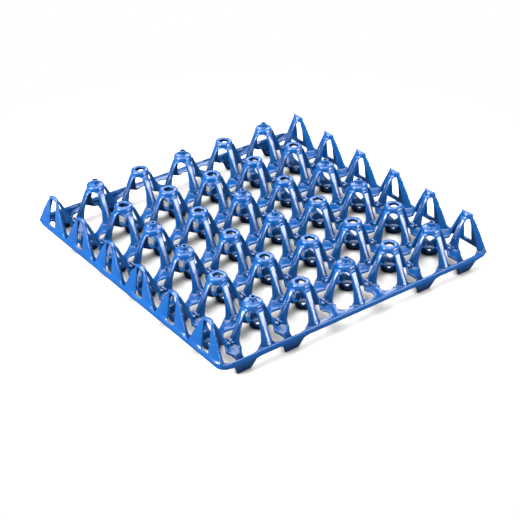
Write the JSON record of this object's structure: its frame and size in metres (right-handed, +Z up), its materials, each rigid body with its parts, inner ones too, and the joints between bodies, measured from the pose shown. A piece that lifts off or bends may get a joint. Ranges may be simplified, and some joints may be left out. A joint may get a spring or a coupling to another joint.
{
  "type": "plastic egg tray",
  "caption": "Open-work moulded tray for eggs: a grid of round cups between hollow four-legged posts, with a low rim and locating pegs.",
  "frame": {"origin": "on the floor plane under the centre of the tray", "axes": "+Z up; +X along the longer rows of cells, towards an end wall; +Y along the shorter rows"},
  "size_m": [0.2898, 0.291, 0.0504],
  "materials": {
    "tray_plastic": "satin gloss, as moulded"
  },
  "bodies": {
    "root": {"egg_tray": "tray_plastic"}
  },
  "joints": []
}
